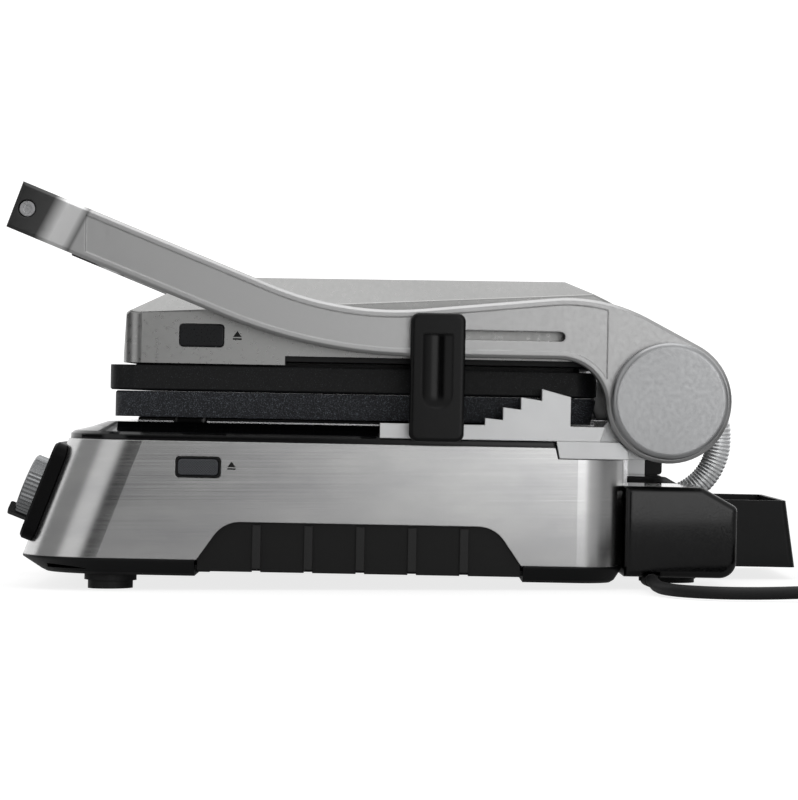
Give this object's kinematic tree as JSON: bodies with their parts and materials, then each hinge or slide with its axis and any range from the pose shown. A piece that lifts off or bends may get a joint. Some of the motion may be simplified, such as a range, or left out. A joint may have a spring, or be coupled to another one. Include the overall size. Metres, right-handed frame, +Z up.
{
  "type": "contact grill",
  "caption": "Countertop contact grill with a floating lid on two arms, a stepped height slider, knobs on a raked front, and a drip tray and metal hose at the rear.",
  "frame": {"origin": "centre of the footprint on the table, under the whole appliance without its cord", "axes": "+Z up, +Y towards the hinge and the drip tray, -Y towards the knobs, +X towards the side with the height slider"},
  "size_m": [0.4319, 0.4792, 0.1915],
  "materials": {
    "stainless": "fine brushed stainless steel",
    "lid_metal": "satin sheet steel",
    "arm_metal": "satin die-cast aluminium",
    "cast_grey": "light grey cast aluminium",
    "nonstick": "cast aluminium with a speckled black non-stick coat",
    "gloss_black": "glossy black plastic",
    "matte_black": "fine-grained black plastic",
    "knob_metal": "knurled aluminium",
    "zinc_steel": "zinc-plated steel",
    "hose_metal": "ribbed metal hose",
    "bright_sheet": "bright pressed sheet",
    "rubber_black": "soft black rubber",
    "plug_plastic": "moulded black plastic",
    "pin_metal": "nickelled brass",
    "lens_red": "clear red lens",
    "board_green": "circuit board",
    "switch_body": "dark moulded plastic"
  },
  "bodies": {
    "base": {"base_shell": "stainless", "top_frame": "gloss_black", "base_pan": "matte_black", "vent_panels": "matte_black", "control_bezel": "matte_black", "pilot_lenses": "lens_red", "rotary_controls": "switch_body", "control_board": "board_green", "height_rail": "cast_grey", "hinge_bracket_right": "cast_grey", "hinge_bracket_left": "cast_grey", "hinge_buffer": "matte_black", "hinge_cover": "matte_black", "bracket_screws": "zinc_steel", "hinge_tube": "zinc_steel", "hinge_bolts": "zinc_steel", "conduit": "hose_metal", "conduit_glands": "zinc_steel", "rear_bracket_right": "gloss_black", "rear_bracket_left": "gloss_black", "button_surround": "matte_black", "lower_plate": "nonstick", "lower_element": "zinc_steel", "lower_reflector": "bright_sheet", "grease_chute": "bright_sheet", "terminal_block": "switch_body", "front_feet": "rubber_black", "rear_feet": "rubber_black", "strain_relief": "rubber_black", "cord_run": "rubber_black", "cord_coil": "rubber_black", "cord_tie": "rubber_black", "plug": "plug_plastic", "plug_pins": "pin_metal", "base_button_spring": "zinc_steel"},
    "hinge_carrier": {"hinge_sleeves": "zinc_steel"},
    "arms": {"arm_right": "arm_metal", "arm_left": "arm_metal", "drum_caps": "arm_metal", "handle_bar": "arm_metal", "handle_screws": "zinc_steel", "lid_pivot_pins": "zinc_steel"},
    "slider": {"height_slider": "matte_black", "slider_guide": "zinc_steel"},
    "lid": {"lid_housing": "lid_metal", "lid_skirt": "matte_black", "lid_pivot_bushes": "zinc_steel", "upper_plate": "nonstick", "upper_element": "zinc_steel", "upper_reflector": "bright_sheet", "lid_button_spring": "zinc_steel"},
    "lid_release": {"lid_button": "matte_black"},
    "base_release": {"base_button": "matte_black"},
    "tray": {"drip_tray": "matte_black"},
    "knob_left": {"knob_left_ring": "knob_metal", "knob_left_cap": "matte_black"},
    "knob_middle": {"knob_middle_ring": "knob_metal", "knob_middle_cap": "matte_black"},
    "knob_right": {"knob_right_ring": "knob_metal", "knob_right_cap": "matte_black"}
  },
  "joints": [
    {"name": "lid_height", "type": "hinge", "parent": "base", "child": "hinge_carrier", "pos_m": [0, 0.12181, 0.08869], "axis": [-1, 0, 0], "range_deg": [0, 21]},
    {"name": "arm_open", "type": "hinge", "parent": "hinge_carrier", "child": "arms", "pos_m": [0, 0.12181, 0.08869], "axis": [-1, 0, 0], "range_deg": [0, 88]},
    {"name": "lid_level", "type": "hinge", "parent": "arms", "child": "lid", "pos_m": [0, -0.0181, 0.12079], "axis": [-1, 0, 0], "range_deg": [-21, 0]},
    {"name": "slider_slide", "type": "slide", "parent": "arms", "child": "slider", "axis": [0, 0.9998, -0.0192], "range_m": [0, 0.057]},
    {"name": "tray_slide", "type": "slide", "parent": "base", "child": "tray", "axis": [0, 0.9998, -0.0192], "range_m": [0, 0.12]},
    {"name": "lid_release_press", "type": "slide", "parent": "lid", "child": "lid_release", "axis": [-1, 0, 0], "range_m": [0, 0.003], "stiffness_N_per_m": 500, "springref_m": -0.003, "deforming": ["lid_button_spring"]},
    {"name": "base_release_press", "type": "slide", "parent": "base", "child": "base_release", "axis": [-1, 0, 0], "range_m": [0, 0.003], "stiffness_N_per_m": 500, "springref_m": -0.003, "deforming": ["base_button_spring"]},
    {"name": "knob_left_turn", "type": "hinge", "parent": "base", "child": "knob_left", "pos_m": [-0.11, -0.17373, 0.04367], "axis": [0, -0.9285, 0.3714], "range_deg": [0, 300]},
    {"name": "knob_middle_turn", "type": "hinge", "parent": "base", "child": "knob_middle", "pos_m": [0, -0.17373, 0.04367], "axis": [0, -0.9285, 0.3714], "range_deg": [0, 300]},
    {"name": "knob_right_turn", "type": "hinge", "parent": "base", "child": "knob_right", "pos_m": [0.11, -0.17373, 0.04367], "axis": [0, -0.9285, 0.3714], "range_deg": [0, 300]}
  ],
  "couplings": [
    {"joint": "lid_level", "follows": "lid_height", "ratio": -1},
    {"joint": "slider_slide", "follows": "lid_height", "m_per_rad": 0.15552}
  ]
}
